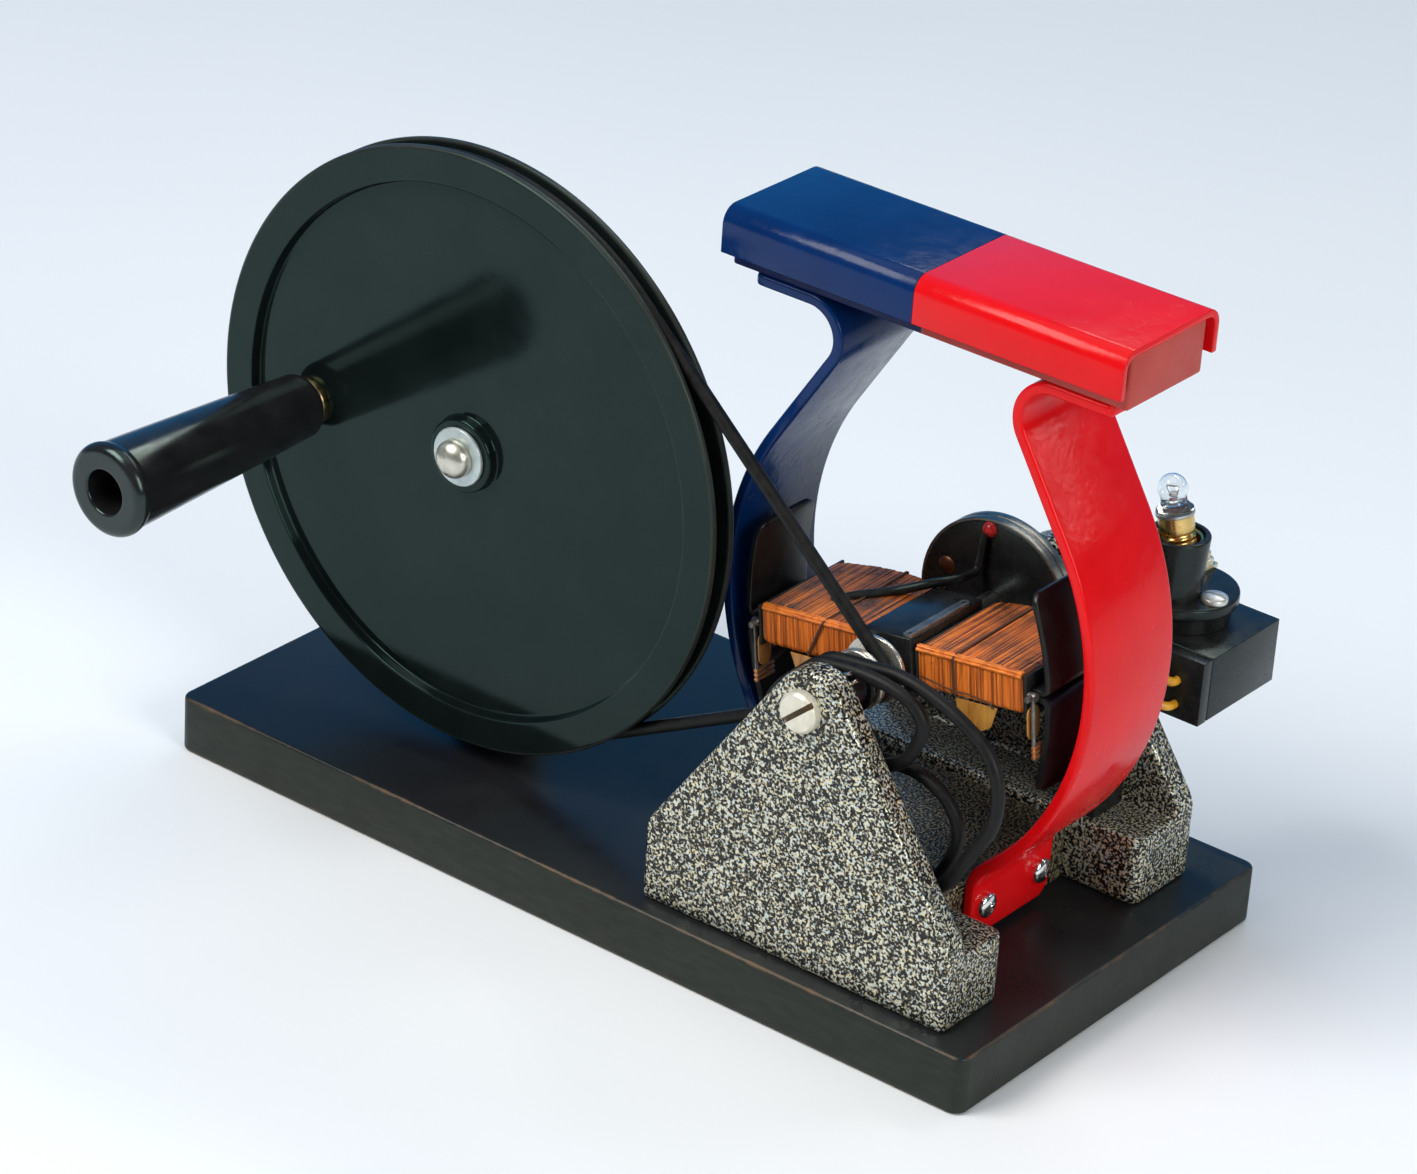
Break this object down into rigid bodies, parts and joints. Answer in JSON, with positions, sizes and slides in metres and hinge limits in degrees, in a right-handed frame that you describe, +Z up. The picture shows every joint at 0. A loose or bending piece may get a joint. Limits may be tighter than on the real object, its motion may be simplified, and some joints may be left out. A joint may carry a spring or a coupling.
{
  "type": "hand-cranked dynamo",
  "caption": "Hand-cranked demonstration dynamo: a large belt wheel with a crank grip spins a wound armature between red and blue pole strips under a bar magnet, lighting a small lamp.",
  "frame": {"origin": "centre of the base board's underside", "axes": "+X along the board from the crank wheel towards the armature, +Y from the crank side to the lamp side, +Z up"},
  "size_m": [0.2606, 0.1882, 0.184],
  "materials": {
    "black_board": "satin black lacquer over board, brown where the edges are rubbed",
    "hammered_paint": "silver and black hammered enamel on a casting",
    "plated_steel": "dull zinc plating",
    "nickel": "bright nickel plating",
    "black_moulding": "glossy black moulding",
    "black_paint": "black paint",
    "wheel_plastic": "satin black, turned",
    "brass": "plain brass",
    "rubber_cord": "smooth black rubber",
    "blue_paint": "glossy dark blue paint",
    "red_paint": "glossy red paint",
    "magnet_paint": "painted magnet bar, one half red and the other half blue",
    "black_iron": "black varnished iron strap",
    "enamelled_copper": "enamelled copper wire, copper in the real object",
    "copper": "dull copper",
    "black_fibre": "black pressed fibre",
    "amber_paper": "varnished insulating paper",
    "red_wax": "red sealing lacquer",
    "black_sleeve": "black insulating sleeve",
    "amber_sleeve": "amber insulating sleeve",
    "lamp_glass": "clear glass"
  },
  "bodies": {
    "frame": {"base_board": "black_board", "base_screws": "plated_steel", "front_pedestal": "hammered_paint", "rear_pedestal": "hammered_paint", "bed_block": "hammered_paint", "front_bearing_screw": "nickel", "rear_bearing_screw": "nickel", "front_bearing_bush": "black_moulding", "rear_bearing_bush": "black_moulding", "bush_split_pin": "plated_steel", "wheel_post": "black_paint", "axle_stud": "plated_steel", "axle_spacer": "plated_steel", "axle_washer": "plated_steel", "axle_cap_nut": "nickel", "axle_rear_nut": "plated_steel", "drive_belt": "rubber_cord", "spare_belt": "rubber_cord", "south_pole_strip": "blue_paint", "north_pole_strip": "red_paint", "pole_strip_screws": "nickel", "magnet_bar": "magnet_paint", "magnet_cover_south": "blue_paint", "magnet_cover_north": "red_paint", "brush_post": "black_moulding", "brush_spring": "brass", "brush_screws": "brass", "lamp_block": "black_moulding", "lamp_block_plate": "black_moulding", "lamp_block_screws": "plated_steel", "lamp_holder": "black_moulding", "lamp_shell": "brass", "lamp_terminal_screw": "nickel", "lamp_terminal_tab": "brass", "bulb_cap": "brass", "bulb_glass": "lamp_glass", "bulb_filament": "plated_steel", "lamp_leads": "amber_sleeve"},
    "wheel": {"drive_wheel": "wheel_plastic", "crank_pin": "plated_steel", "crank_collar": "brass"},
    "grip": {"handle_grip": "black_moulding"},
    "armature": {"rotor_shaft": "plated_steel", "drive_pulley": "nickel", "core_strap_upper": "black_iron", "core_strap_lower": "black_iron", "rotor_hub": "black_moulding", "hub_clip": "plated_steel", "coil_left": "enamelled_copper", "coil_right": "enamelled_copper", "coil_cheeks": "black_fibre", "insulation_paper": "amber_paper", "coil_tags": "plated_steel", "slip_ring_disc": "black_moulding", "slip_ring": "nickel", "ring_rivet": "copper", "ring_joint": "red_wax", "rotor_lead": "black_sleeve"}
  },
  "joints": [
    {"name": "wheel_spin", "type": "hinge", "parent": "frame", "child": "wheel", "pos_m": [-0.0563, -0.0322, 0.0993], "axis": [0, 1, 0], "continuous": true},
    {"name": "grip_spin", "type": "hinge", "parent": "wheel", "child": "grip", "pos_m": [-0.10828, -0.07, 0.09576], "axis": [0, 1, 0], "continuous": true},
    {"name": "armature_spin", "type": "hinge", "parent": "frame", "child": "armature", "pos_m": [0.0677, -0.011, 0.0844], "axis": [0, 1, 0], "continuous": true}
  ],
  "couplings": [
    {"joint": "armature_spin", "follows": "wheel_spin", "ratio": 12.75}
  ]
}
